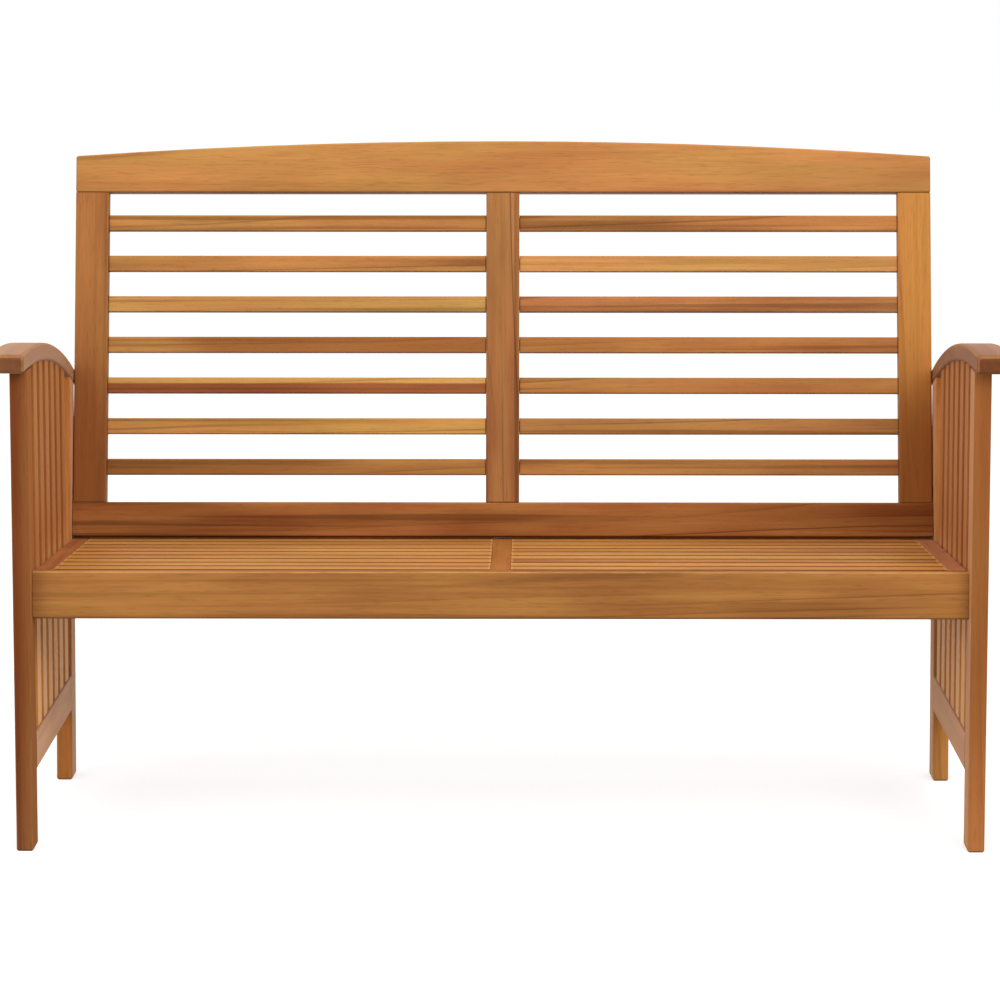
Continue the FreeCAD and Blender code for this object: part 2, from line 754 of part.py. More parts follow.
def back_bottom_rail():
    body = new_body("back_bottom_rail")
    sketch = sketch_on(body, "YZ_Plane", "bottom_rail_section")
    rectangle(sketch, zero, zero, size.back_thickness, size.back_rail_height)
    pad(body, sketch, "bottom_rail_blank", back_half * 2)
    round_edges(body, "bottom_rail_rounding", size.back_rounding, runs_along(along_x))
    for side, x in stiles:
        stile_mortise(body, f"bottom_rail_{side}_mortise", x,
                      size.back_rail_height - size.stile_tenon_length - size.mortise_extra,
                      size.back_rail_height)
    barrel_joint(body, "bottom_rail", back_half, size.back_low_bolt, panel_mid, size.back_thickness)
    place_in_back(body)
    nodes.append(body)


# The top rail is straight below and arched above
def back_top_rail():
    body = new_body("back_top_rail")
    end_height = opening_top + size.top_rail_end_height
    rise = size.top_rail_crown
    radius = (back_half * back_half + rise * rise) / (rise * 2)
    corners = [(-back_half, opening_top), (back_half, opening_top),
               (back_half, end_height), (-back_half, end_height)]
    sketch = sketch_on(body, "XZ_Plane", "top_rail_outline")
    outline(sketch, corners, {2: (zero, crown_height - radius, radius)})
    pad(body, sketch, "top_rail_blank", size.back_thickness, "back")
    round_edges(body, "top_rail_rounding", size.back_rounding, every_edge)
    for side, x in stiles:
        stile_mortise(body, f"top_rail_{side}_mortise", x, opening_top,
                      opening_top + size.stile_tenon_length + size.mortise_extra)
    place_in_back(body)
    nodes.append(body)


def back_stile(label, x, faces):
    body = new_body(label)
    sketch = sketch_on(body, "YZ_Plane", "stile_outline")
    rectangle(sketch, zero, size.back_rail_height, size.back_thickness, opening_top)
    pad(body, sketch, "stile_blank", size.stile_width)
    round_edges(body, "stile_rounding", size.back_rounding, runs_along(along_z))
    half = size.stile_tenon_thickness / 2
    sketch = sketch_on(body, "YZ_Plane", "stile_tenon_outline")
    rectangle(sketch, panel_mid - half, size.back_rail_height - size.stile_tenon_length,
              panel_mid + half, opening_top + size.stile_tenon_length)
    pad(body, sketch, "stile_tenons", size.stile_width - size.stile_tenon_shoulder * 2)
    gap = size.mortise_clearance
    half = size.back_slat_thickness / 2 - size.slat_shoulder + gap
    low = size.back_rail_height + size.back_slat_first_gap + size.slat_shoulder - gap
    high = low + size.back_slat_height - size.slat_shoulder * 2 + gap * 2
    for sign, direction in faces:
        sketch = sketch_on(body, "YZ_Plane", f"slat_mortise_outline_{direction}", size.stile_width / 2 * sign)
        rectangle(sketch, panel_mid - half, low, panel_mid + half, high)
        depth = size.back_slat_tenon_length + size.mortise_extra
        mortise = pocket(body, sketch, f"slat_mortise_{direction}", depth, direction)
        repeat(body, mortise, "Z_Axis", back_slat_pitch, size.back_slat_count)
    place_in_back(body, x)
    return body


# The outer stile takes the upper bolt and its barrel nut
def outer_stile():
    body = back_stile("right_back_stile", stile_middle, [(-1, "back")])
    sketch = sketch_on(body, "YZ_Plane", "bolt_circle", size.stile_width / 2)
    circle(sketch, panel_mid, size.back_high_bolt, size.bolt_hole_diameter)
    depth = size.bolt_length + size.mortise_extra - size.leg_thickness + size.counterbore_depth
    pocket(body, sketch, "bolt_bore", depth, "forward")
    sketch = sketch_on(body, "XZ_Plane", "nut_circle", -size.back_thickness)
    circle(sketch, size.stile_width / 2 - size.barrel_setback, size.back_high_bolt,
           size.barrel_diameter + size.barrel_clearance * 2)
    nut_end = panel_mid - size.barrel_length / 2 - size.barrel_clearance
    pocket(body, sketch, "nut_bore", size.back_thickness - nut_end, "back")
    return body


def centre_stile():
    nodes.append(back_stile("back_centre_stile", zero, [(-1, "back"), (1, "forward")]))


def back_slat(number):
    inner = size.stile_width / 2
    outer = back_half - size.stile_width
    low = size.back_rail_height + size.back_slat_first_gap + back_slat_pitch * number
    body = slat(f"right_back_slat_{number + 1}", panel_mid - size.back_slat_thickness / 2, low,
                size.back_slat_thickness, size.back_slat_height, inner, outer, size.back_slat_tenon_length)
    place_in_back(body, (inner + outer) / 2)
    return body


# Connecting bolt: flat round head with a six-sided socket, axis along X, seat of the head at X = 0
def bolt(label, length, y, z):
    body = new_body(label)
    head = size.bolt_head_diameter / 2
    shank = size.bolt_diameter / 2
    sketch = sketch_on(body, "XY_Plane", "bolt_profile")
    outline(sketch, [(-length, zero), (size.bolt_head_height, zero), (size.bolt_head_height, head),
                     (zero, head), (zero, shank), (-length, shank)])
    turned = body.newObject("PartDesign::Revolution", "bolt_turned")
    turned.Profile = sketch
    turned.ReferenceAxis = (sketch, ["H_Axis"])
    turned.Angle = 360
    six_sided_cut(body, "bolt_socket", size.bolt_head_height, size.bolt_socket, size.bolt_socket_depth)
    place(body, size.clear_width / 2 + size.leg_thickness - size.counterbore_depth, y - depth_middle, z)
    return body


def six_sided(sketch, flats):
    reach = flats / 2 / cosine(as_size(30))
    outline(sketch, [(reach * round(math.cos(math.radians(60 * turn)), 9),
                      reach * round(math.sin(math.radians(60 * turn)), 9)) for turn in range(6)])
    return sketch


def six_sided_cut(body, name, face, flats, depth):
    sketch = six_sided(sketch_on(body, "YZ_Plane", name + "_outline", face), flats)
    pocket(body, sketch, name, depth, "forward")


# Barrel nut across the bolt, with its long end towards the rear face
def barrel_nut(label, x, point, depth, rise, tilt):
    body = new_body(label)
    sketch = sketch_on(body, "XZ_Plane", "barrel_circle")
    circle(sketch, zero, zero, size.barrel_diameter)
    pad(body, sketch, "barrel_blank", size.barrel_length)
    sketch = sketch_on(body, "YZ_Plane", "barrel_thread_circle")
    circle(sketch, zero, zero, size.bolt_diameter + size.thread_clearance * 2)
    pocket(body, sketch, "barrel_thread", size.barrel_diameter * 2)
    y, z = point(depth, rise)
    place(body, x - size.barrel_setback, y - depth_middle, z, tilt)
    return body


# A disc with a hole, axis along X, from x inwards
def ring(label, diameter, hole, thickness, x, y, z):
    body = new_body(label)
    sketch = sketch_on(body, "YZ_Plane", "ring_circle")
    circle(sketch, zero, zero, diameter)
    pad(body, sketch, "ring_blank", thickness, "back")
    ring_bore(body, hole, thickness)
    place(body, x, y - depth_middle, z)
    return body


def ring_bore(body, hole, thickness):
    sketch = sketch_on(body, "YZ_Plane", "bore_circle")
    circle(sketch, zero, zero, hole)
    pocket(body, sketch, "bore", thickness * 2)


def hex_nut(label, x, y, z):
    body = new_body(label)
    sketch = six_sided(sketch_on(body, "YZ_Plane", "nut_outline"), size.nut_flats)
    pad(body, sketch, "nut_blank", size.nut_height, "back")
    ring_bore(body, size.bolt_diameter + size.thread_clearance * 2, size.nut_height)
    place(body, x, y - depth_middle, z)
    return body


# Right-hand pieces and their mirror images as one node of separate solids
def pair_group(label, pieces):
    grouped(label, pieces + [mirrored(piece, piece.Label.replace("right", "left")) for piece in pieces])


def fasteners():
    bolt_points = [seat_front_bolt] + back_bolts
    pair_group("connector_bolts", [bolt(f"right_bolt_{number}", size.bolt_length, *point)
                                   for number, point in enumerate(bolt_points, start=1)])
    pair_group("barrel_nuts", [
        barrel_nut("right_barrel_1", seat_length / 2, seat_point, size.seat_rail_thickness / 2,
                   -size.seat_bolt_drop, size.seat_slope),
        barrel_nut("right_barrel_2", back_half, back_point, panel_mid, size.back_low_bolt, size.back_lean),
        barrel_nut("right_barrel_3", back_half, back_point, panel_mid, size.back_high_bolt, size.back_lean),
    ])
    pair_group("back_spacers", [
        ring(f"right_spacer_{number}", size.spacer_diameter, size.bolt_hole_diameter, size.back_clearance,
             size.clear_width / 2, *point) for number, point in enumerate(back_bolts, start=1)])
    pair_group("seat_rear_bolts", [bolt("right_rear_bolt", size.rear_bolt_length, *seat_rear_bolt)])
    inner_face = seat_length / 2 - size.seat_side_rail_width
    pair_group("seat_rear_washers", [
        ring("right_rear_washer", size.washer_diameter, size.bolt_hole_diameter, size.washer_thickness,
             inner_face, *seat_rear_bolt)])
    pair_group("seat_rear_nuts", [
        hex_nut("right_rear_nut", inner_face - size.washer_thickness, *seat_rear_bolt)])


# Assembly
both_ends("front_leg", front_leg())
both_ends("rear_leg", rear_leg())
both_ends("lower_side_rail", lower_side_rail())
both_ends("armrest", armrest())
right_slats = [side_slat(number) for number in range(dimensions["side_slat_count"])]
grouped("right_side_slats", right_slats)
grouped("left_side_slats", [mirrored(piece, piece.Label.replace("right", "left")) for piece in right_slats])
seat_front_rail()
seat_rear_rail()
both_ends("seat_side_rail", seat_side_rail())
seat_centre_rail()
for index in range(dimensions["seat_slat_count"]):
    both_ends(f"seat_slat_{index + 1}", seat_slat(index))
back_bottom_rail()
back_top_rail()
both_ends("back_stile", outer_stile())
centre_stile()
for index in range(dimensions["back_slat_count"]):
    both_ends(f"back_slat_{index + 1}", back_slat(index))
fasteners()

document.recompute()
for item in document.Objects:
    if "Invalid" in item.State or "Error" in item.State:
        raise RuntimeError(f"{item.Label} did not build")
for node in nodes:
    if node.Shape.isNull() or not node.Shape.isValid() or not node.Shape.Solids:
        raise RuntimeError(f"{node.Label} has no valid solid")

os.makedirs("parts", exist_ok=True)
for node in nodes:
    node.Shape.exportStep(f"parts/{node.Label}.step")
print(len(nodes), "nodes,", sum(len(node.Shape.Solids) for node in nodes), "solids")
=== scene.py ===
import math

import bpy
from mathutils import Euler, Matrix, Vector


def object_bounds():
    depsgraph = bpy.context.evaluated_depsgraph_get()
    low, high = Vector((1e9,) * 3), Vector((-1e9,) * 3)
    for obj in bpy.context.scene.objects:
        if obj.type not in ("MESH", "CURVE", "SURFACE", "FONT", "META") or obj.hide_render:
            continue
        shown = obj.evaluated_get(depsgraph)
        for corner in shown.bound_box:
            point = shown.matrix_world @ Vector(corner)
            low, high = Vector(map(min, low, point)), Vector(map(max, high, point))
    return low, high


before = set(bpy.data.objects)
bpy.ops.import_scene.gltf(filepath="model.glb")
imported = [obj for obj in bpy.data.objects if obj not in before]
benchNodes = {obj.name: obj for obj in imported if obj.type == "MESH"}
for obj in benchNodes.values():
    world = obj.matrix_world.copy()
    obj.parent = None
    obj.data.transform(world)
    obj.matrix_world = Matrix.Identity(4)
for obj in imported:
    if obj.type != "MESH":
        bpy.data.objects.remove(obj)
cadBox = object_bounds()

scene = bpy.context.scene
print("bench loaded,", len(benchNodes), "nodes")

seatTilt = 3.3      # degrees, the seat falls to the rear
backTilt = 11.5     # degrees, the back leans to the rear
legTilt = 3.3       # degrees, the rear legs are raked

colourMixSockets = {"first": 6, "second": 7, "result": 2}     # the mix node's places for colours


def feed(tree, socket, value):
    # a socket is linked, anything else is a plain value
    if isinstance(value, bpy.types.NodeSocket):
        tree.links.new(value, socket)
    elif value is not None:
        socket.default_value = value


def mathStep(tree, operation, first, second=None, third=None, clamp=False):
    node = tree.nodes.new("ShaderNodeMath")
    node.operation = operation
    node.use_clamp = clamp
    for socket, value in zip(node.inputs, (first, second, third)):
        feed(tree, socket, value)
    return node.outputs[0]


def vectorStep(tree, operation, first, second=None):
    node = tree.nodes.new("ShaderNodeVectorMath")
    node.operation = operation
    feed(tree, node.inputs[0], first)
    feed(tree, node.inputs["Scale" if operation == "SCALE" else 1], second)
    return node.outputs["Value" if operation in ("LENGTH", "DOT_PRODUCT") else "Vector"]


def splitVector(tree, vector):
    node = tree.nodes.new("ShaderNodeSeparateXYZ")
    feed(tree, node.inputs[0], vector)
    return node.outputs[0], node.outputs[1], node.outputs[2]


def joinVector(tree, x, y, z):
    node = tree.nodes.new("ShaderNodeCombineXYZ")
    for socket, value in zip(node.inputs, (x, y, z)):
        feed(tree, socket, value)
    return node.outputs[0]


def noiseField(tree, place, scale=1.0, detail=2.0, rough=0.5, colour=False):
    node = tree.nodes.new("ShaderNodeTexNoise")
    feed(tree, node.inputs["Vector"], place)
    feed(tree, node.inputs["Scale"], scale)
    feed(tree, node.inputs["Detail"], detail)
    feed(tree, node.inputs["Roughness"], rough)
    return node.outputs["Color" if colour else "Fac"]


def stretchedNoise(tree, place, settings, colour=False):
    # settings: noise counts per metre on each axis, detail, roughness of the noise
    counts, detail, rough = settings
    place = vectorStep(tree, "MULTIPLY", place, counts)
    return noiseField(tree, place, detail=detail, rough=rough, colour=colour)


def fadeBetween(tree, value, span, toLow=0.0, toHigh=1.0):
    # smooth change from toLow to toHigh while value crosses the span
    node = tree.nodes.new("ShaderNodeMapRange")
    node.interpolation_type = "SMOOTHSTEP"
    entries = {"Value": value, "From Min": span[0], "From Max": span[1], "To Min": toLow, "To Max": toHigh}
    for name, entry in entries.items():
        feed(tree, node.inputs[name], entry)
    return node.outputs["Result"]


def mixColour(tree, share, first, second, blend="MIX"):
    node = tree.nodes.new("ShaderNodeMix")
    node.data_type = "RGBA"
    node.blend_type = blend
    node.clamp_factor = True
    feed(tree, node.inputs["Factor"], share)
    feed(tree, node.inputs[colourMixSockets["first"]], first)
    feed(tree, node.inputs[colourMixSockets["second"]], second)
    return node.outputs[colourMixSockets["result"]]


def newGroup(name, inputs, outputs):
    tree = bpy.data.node_groups.new(name, "ShaderNodeTree")
    for label, kind, value in inputs:
        socket = tree.interface.new_socket(label, in_out="INPUT", socket_type="NodeSocket" + kind)
        if value is not None:
            socket.default_value = value
    for label in outputs:
        tree.interface.new_socket(label, in_out="OUTPUT", socket_type="NodeSocketFloat")
    start = tree.nodes.new("NodeGroupInput")
    end = tree.nodes.new("NodeGroupOutput")
    return tree, start.outputs, end.inputs


def useGroup(tree, group, **values):
    node = tree.nodes.new("ShaderNodeGroup")
    node.node_tree = group
    for label, value in values.items():
        feed(tree, node.inputs[label.replace("_", " ")], value)
    return node.outputs


# wood figure, in board coordinates: X runs along the grain, Y and Z across it, in metres
grainNoise = {
    "bend": ((2.2, 9, 9), 1.5, 0.5),
    "streak": ((2.1, 46, 46), 2, 0.5),
    "fineStreak": ((3, 150, 150), 2, 0.6),
    "darkStreak": ((1.1, 120, 120), 1.5, 0.5),
    "cloud": ((4.2, 21, 21), 2, 0.5),
    "hue": ((3.1, 30, 30), 1.5, 0.5),
    "fibre": ((13, 780, 780), 2, 0.6),
    "pore": ((45, 620, 620), 1, 0.5),
}
grainShape = {
    "seedStep": (3.17, 1.91, 2.63),
    "hueStep": (5.1, 2.7, 8.3),
    "unevenScale": 0.9,           # rings of uneven width
    "unevenShare": 1.6,
    "lateWood": (0.15, 0.86),     # parts of one ring
    "ringEnd": (0.88, 1.0),
    "lineRise": (0.74, 0.88),
    "boldScale": 0.83,            # some rings are bold, some faint
    "boldAlong": 1.3,
    "boldSpan": (0.3, 0.72),
    "lineBold": (0.45, 0.95),
    "streakSpan": (0.32, 0.7),
    "fineShare": 0.3,
    "streakShare": 0.75,
    "ringShare": 0.35,
    "darkStreakBend": 0.6,
    "darkStreakSpan": (0.5, 0.66),
    "poreSpan": (0.56, 0.7),
    "plainSpan": (0.3, 0.7),      # fine streaks, clouds and hue
}


def makeGrainGroup():
    tree, given, result = newGroup(
        "woodGrain",
        [("Place", "Vector", None), ("Pith", "Vector", (0, 0.03, 0.05)), ("Seed", "Float", 0.0),
         ("Ring Spacing", "Float", 0.006), ("Wander", "Float", 0.008), ("Drift", "Float", 0.03)],
        ["Bands", "Lines", "Cloud", "Hue", "Fibres", "Pores", "Streaks"])
    shape = grainShape
    shift = vectorStep(tree, "SCALE", shape["seedStep"], given["Seed"])
    place = vectorStep(tree, "ADD", given["Place"], shift)

    # growth rings around the pith, bent by slow noise
    bend = stretchedNoise(tree, place, grainNoise["bend"], colour=True)
    bend = vectorStep(tree, "SUBTRACT", bend, (0.5, 0.5, 0.5))
    bend = vectorStep(tree, "SCALE", bend, given["Wander"])
    bent = vectorStep(tree, "ADD", given["Place"], bend)
    x, y, z = splitVector(tree, vectorStep(tree, "SUBTRACT", bent, given["Pith"]))
    radius = vectorStep(tree, "LENGTH", joinVector(tree, 0, y, z))
    radius = mathStep(tree, "MULTIPLY_ADD", x, given["Drift"], radius)
    rings = mathStep(tree, "DIVIDE", radius, given["Ring Spacing"])
    uneven = joinVector(tree, mathStep(tree, "ADD", rings, given["Seed"]), 0, 0)
    uneven = noiseField(tree, uneven, shape["unevenScale"], detail=1)
    rings = mathStep(tree, "MULTIPLY_ADD", uneven, shape["unevenShare"], rings)
    part = mathStep(tree, "FRACT", rings)
    fall = fadeBetween(tree, part, shape["ringEnd"], 1, 0)
    late = mathStep(tree, "MULTIPLY", fadeBetween(tree, part, shape["lateWood"]), fall)
    bold = mathStep(tree, "MULTIPLY", x, shape["boldAlong"])
    bold = joinVector(tree, mathStep(tree, "FLOOR", rings), given["Seed"], bold)
    bold = fadeBetween(tree, noiseField(tree, bold, shape["boldScale"], detail=0), shape["boldSpan"])
    late = mathStep(tree, "MULTIPLY", late, bold)

    streak = fadeBetween(tree, stretchedNoise(tree, place, grainNoise["streak"]), shape["streakSpan"])
    streak = mathStep(tree, "MULTIPLY", streak, 1 - shape["fineShare"])
    fine = fadeBetween(tree, stretchedNoise(tree, place, grainNoise["fineStreak"]), shape["plainSpan"])
    streak = mathStep(tree, "MULTIPLY_ADD", fine, shape["fineShare"], streak)
    late = mathStep(tree, "MULTIPLY", late, shape["ringShare"])
    bands = mathStep(tree, "MULTIPLY_ADD", streak, shape["streakShare"], late, clamp=True)
    feed(tree, result["Bands"], bands)

    narrow = mathStep(tree, "MULTIPLY", fadeBetween(tree, part, shape["lineRise"]), fall)
    narrow = mathStep(tree, "MULTIPLY", narrow, fadeBetween(tree, bold, shape["lineBold"]))
    feed(tree, result["Lines"], narrow)

    dark = vectorStep(tree, "ADD", place, vectorStep(tree, "SCALE", bend, shape["darkStreakBend"]))
    dark = stretchedNoise(tree, dark, grainNoise["darkStreak"])
    feed(tree, result["Streaks"], fadeBetween(tree, dark, shape["darkStreakSpan"]))

    cloud = stretchedNoise(tree, place, grainNoise["cloud"])
    feed(tree, result["Cloud"], fadeBetween(tree, cloud, shape["plainSpan"]))
    hue = stretchedNoise(tree, vectorStep(tree, "ADD", place, shape["hueStep"]), grainNoise["hue"])
    feed(tree, result["Hue"], fadeBetween(tree, hue, shape["plainSpan"]))
    feed(tree, result["Fibres"], stretchedNoise(tree, place, grainNoise["fibre"]))
    pores = stretchedNoise(tree, place, grainNoise["pore"])
    feed(tree, result["Pores"], fadeBetween(tree, pores, shape["poreSpan"]))
    return tree


sapwoodShape = {
    "seedStep": (1.37, 2.11, 0.77),
    "noise": ((2.6, 6, 6), 2, 0.5),
    "span": (-1, 1),
}


def makeSapwoodGroup():
    # pale sapwood along one edge of a board, with a wavering border
    tree, given, result = newGroup(
        "sapwoodBand",
        [("Place", "Vector", None), ("Seed", "Float", 0.0), ("Direction", "Vector", (0, 0, 1)),
         ("Border", "Float", 1.0), ("Softness", "Float", 0.003), ("Waver", "Float", 0.006)],
        ["Sapwood"])
    shift = vectorStep(tree, "SCALE", sapwoodShape["seedStep"], given["Seed"])
    waver = stretchedNoise(tree, vectorStep(tree, "ADD", given["Place"], shift), sapwoodShape["noise"])
    waver = mathStep(tree, "MULTIPLY", mathStep(tree, "SUBTRACT", waver, 0.5), given["Waver"])
    along = vectorStep(tree, "DOT_PRODUCT", given["Place"], given["Direction"])
    beyond = mathStep(tree, "SUBTRACT", mathStep(tree, "ADD", along, waver), given["Border"])
    share = mathStep(tree, "DIVIDE", beyond, given["Softness"])
    feed(tree, result["Sapwood"], fadeBetween(tree, share, sapwoodShape["span"]))
    return tree


wearAndPaintedLightShape = {
    "corner": (0.05, 0.24),       # how far the surface turns away from the six flat sides
    "rubNoise": ((26, 90, 90), 3, 0.6),
    "rubSpan": (0.34, 0.62),
    "rubLeast": 0.35,
    "down": (-0.75, -0.2),        # height of the normal on faces turned down
    "sawnEnd": (0.75, 0.95),
    "joint": (0.2, 1.6),          # distance to the joint, in joint widths
}


def makeWearGroup():
    # rounded edges with wear and painted highlight, sawn ends, and painted shade on faces turned down,
    # found from the direction in which the surface faces
    tree, given, result = newGroup(
        "edgeWear",
        [("Place", "Vector", None), ("Facing", "Vector", None), ("Upright", "Vector", None),
         ("Amount", "Float", 0.6), ("Visible Half", "Float", 1.0), ("Joint Width", "Float", 0.0009)],
        ["Wear", "Sawn End", "Joint", "PaintedUndersideShade"])
    shape = wearAndPaintedLightShape
    a, b, c = splitVector(tree, vectorStep(tree, "ABSOLUTE", given["Facing"]))
    flat = mathStep(tree, "MAXIMUM", mathStep(tree, "MAXIMUM", a, b), c)
    corner = fadeBetween(tree, mathStep(tree, "SUBTRACT", 1, flat), shape["corner"])
    rubbed = stretchedNoise(tree, given["Place"], shape["rubNoise"])
    rubbed = fadeBetween(tree, rubbed, shape["rubSpan"], shape["rubLeast"], 1)
    down = fadeBetween(tree, splitVector(tree, given["Upright"])[2], shape["down"], 1, 0)
    # wear and painted highlight on rounded edges that do not face down
    wearAndPaintedLight = mathStep(tree, "MULTIPLY", corner, rubbed)
    wearAndPaintedLight = mathStep(tree, "MULTIPLY", wearAndPaintedLight, mathStep(tree, "SUBTRACT", 1, down))
    feed(tree, result["Wear"], mathStep(tree, "MULTIPLY", wearAndPaintedLight, given["Amount"]))
    # painted shade on faces turned down
    feed(tree, result["PaintedUndersideShade"], down)
    feed(tree, result["Sawn End"], fadeBetween(tree, a, shape["sawnEnd"]))
    fromMiddle = mathStep(tree, "ABSOLUTE", splitVector(tree, given["Place"])[0])
    toEnd = mathStep(tree, "SUBTRACT", given["Visible Half"], fromMiddle)
    toEnd = mathStep(tree, "DIVIDE", toEnd, given["Joint Width"])
    feed(tree, result["Joint"], fadeBetween(tree, toEnd, shape["joint"], 1, 0))
    return tree


speckleShape = {
    "patchSpan": (0.35, 0.65),
    "patchDetail": 3,
    "grainDetail": 2,
    "grainRough": 0.7,
}


def makeSpeckleGroup():
    # fine and coarse speckle for metal and plastic
    tree, given, result = newGroup(
        "fineSpeckle",
        [("Place", "Vector", None), ("Coarse", "Float", 300.0), ("Fine", "Float", 2600.0)],
        ["Patches", "Grains"])
    shape = speckleShape
    patches = noiseField(tree, given["Place"], given["Coarse"], shape["patchDetail"])
    grains = noiseField(tree, given["Place"], given["Fine"], shape["grainDetail"], shape["grainRough"])
    feed(tree, result["Patches"], fadeBetween(tree, patches, shape["patchSpan"]))
    feed(tree, result["Grains"], grains)
    return tree


grainGroup = makeGrainGroup()
sapwoodGroup = makeSapwoodGroup()
wearAndPaintedLightGroup = makeWearGroup()
speckleGroup = makeSpeckleGroup()
print("shared effects ready")


# oiled hardwood: colours as they are seen on a screen, 0 to 255, and the shares in which they mix
woodFinish = {
    "golden": (206, 146, 80),       # palest heartwood
    "brown": (122, 66, 32),         # darkest heartwood
    "sapwood": (224, 172, 92),
    "line": (78, 38, 16),           # late growth lines and pores
    "wornAndPaintedHighlight": (222, 164, 96),         # rubbed edges, and painted highlight on edges that do not face down
    "shaded": (64, 28, 8),          # painted shade on faces turned down, on faces in a gap and on tops between slats
    # painted sheen, pale, on the lower inner faces of the side slats
    "paintedSheen": (244, 184, 112),
    "deepened": (118, 56, 16),      # painted shade and heartwood that darkens towards one end
    "bandShare": 0.5,
    "cloudShare": 0.5,
    "fibreSpan": (0.3, 0.7),
    "fibreShade": (0.94, 1.05),
    "poreShare": 0.15,
    # share of wear and painted highlight on the edges
    "wornAndPaintedHighlightShare": 0.5,
    "sawnShare": 0.45,
    # share of the painted shade on faces turned down
    "undersideShadeShare": 0.6,
    "paintedSheenShare": 0.8,
    "gapFacing": (0.55, 0.95),
    "flatFacing": (0.6, 0.95),
    "paintedSheenHeight": (-0.08, 0.0),     # from the middle of the slats, metres
    "deepenedWaver": 0.03,
    "roughness": (0.40, 0.56),
    "cloudRough": 0.06,
    "wornRough": 0.12,
    "sawnRough": 0.16,
    "fibreHeight": 0.5,
    "bandHeight": -0.25,
    "poreHeight": -0.7,
    "bumpStrength": 0.15,
    "bumpDistance": 0.0005,
    "refraction": 1.48,
    "sheenRoughness": 0.5,
    "coat": 0.3,
    "coatRoughness": 0.45,
    "pith": (0, 0.035, 0.03),
    "wander": 0.012,
    "noJoint": 5.0,                 # metres, beyond the end of every board
}

# one board, where its own look says nothing else; tone 0 is golden, 1 is dark brown
usualBoard = {
    "tone": 0.4,
    "spread": 0.24,
    "tint": (1, 1, 1),
    "cool": (0.99, 1.05, 0.96, 1),
    "warm": (1.04, 0.93, 0.96, 1),
    "rings": 0.012,
    "drift": 0.02,
    "lines": 0.16,
    "streaks": 0.08,
    "sapSide": (0, 0, 1),
    "sapBorder": 1.0,
    "sapSoftness": 0.004,
    "sapStrength": 0.85,
    # amount of edge wear and painted highlight
    "wearAndPaintedLight": 0.55,
    "joint": 0.6,
    "jointColour": "line",
    "fades": [],            # places along the board where it is clear and where it has painted shade and darker heartwood, strength
    "gloss": 0.1,
    "sheen": 0.0,
    "sheenColour": (255, 214, 178),
}

grainAlongZ = (0, 90, 0)      # turns of an upright board and of one that runs front to back, degrees
grainAlongY = (0, 0, -90)


def shownColour(red, green, blue):
    # screen colour turned into the shader's linear values
    linear = []
    for part in (red / 255, green / 255, blue / 255):
        linear.append(part / 12.92 if part <= 0.04045 else ((part + 0.055) / 1.055) ** 2.4)
    return (*linear, 1.0)


def finishColour(name):
    return shownColour(*woodFinish[name])


def boardColour(tone, tint):
    share = min(1, max(0, tone))
    ends = zip(woodFinish["golden"], woodFinish["brown"], tint)
    return shownColour(*[(golden + (brown - golden) * share) * part for golden, brown, part in ends])


def boardSize(node, turn):
    # middle and half size of a board in its own directions
    rotation = Euler([math.radians(angle) for angle in turn], "XYZ").to_matrix()
    points = [rotation @ vertex.co for vertex in benchNodes[node].data.vertices]
    low = Vector([min(point[i] for point in points) for i in range(3)])
    high = Vector([max(point[i] for point in points) for i in range(3)])
    return (low + high) / 2, (high - low) / 2


def newMaterial(name):
    material = bpy.data.materials.new(name)
    material.use_nodes = True
    material.node_tree.nodes.clear()
    return material, material.node_tree


def dress(node, material):
    for slot in benchNodes[node].material_slots:
        slot.material = material


def turnedCoordinates(tree, kind, source, turn, shift=None):
    node = tree.nodes.new("ShaderNodeMapping")
    node.vector_type = kind
    node.inputs["Rotation"].default_value = [math.radians(angle) for angle in turn]
    if shift is not None:
        node.inputs["Location"].default_value = shift
    tree.links.new(source, node.inputs["Vector"])
    return node.outputs[0]


def surfaceBump(tree, height, strength, distance):
    bump = tree.nodes.new("ShaderNodeBump")
    bump.inputs["Strength"].default_value = strength
    bump.inputs["Distance"].default_value = distance
    tree.links.new(height, bump.inputs["Height"])
    return bump.outputs[0]


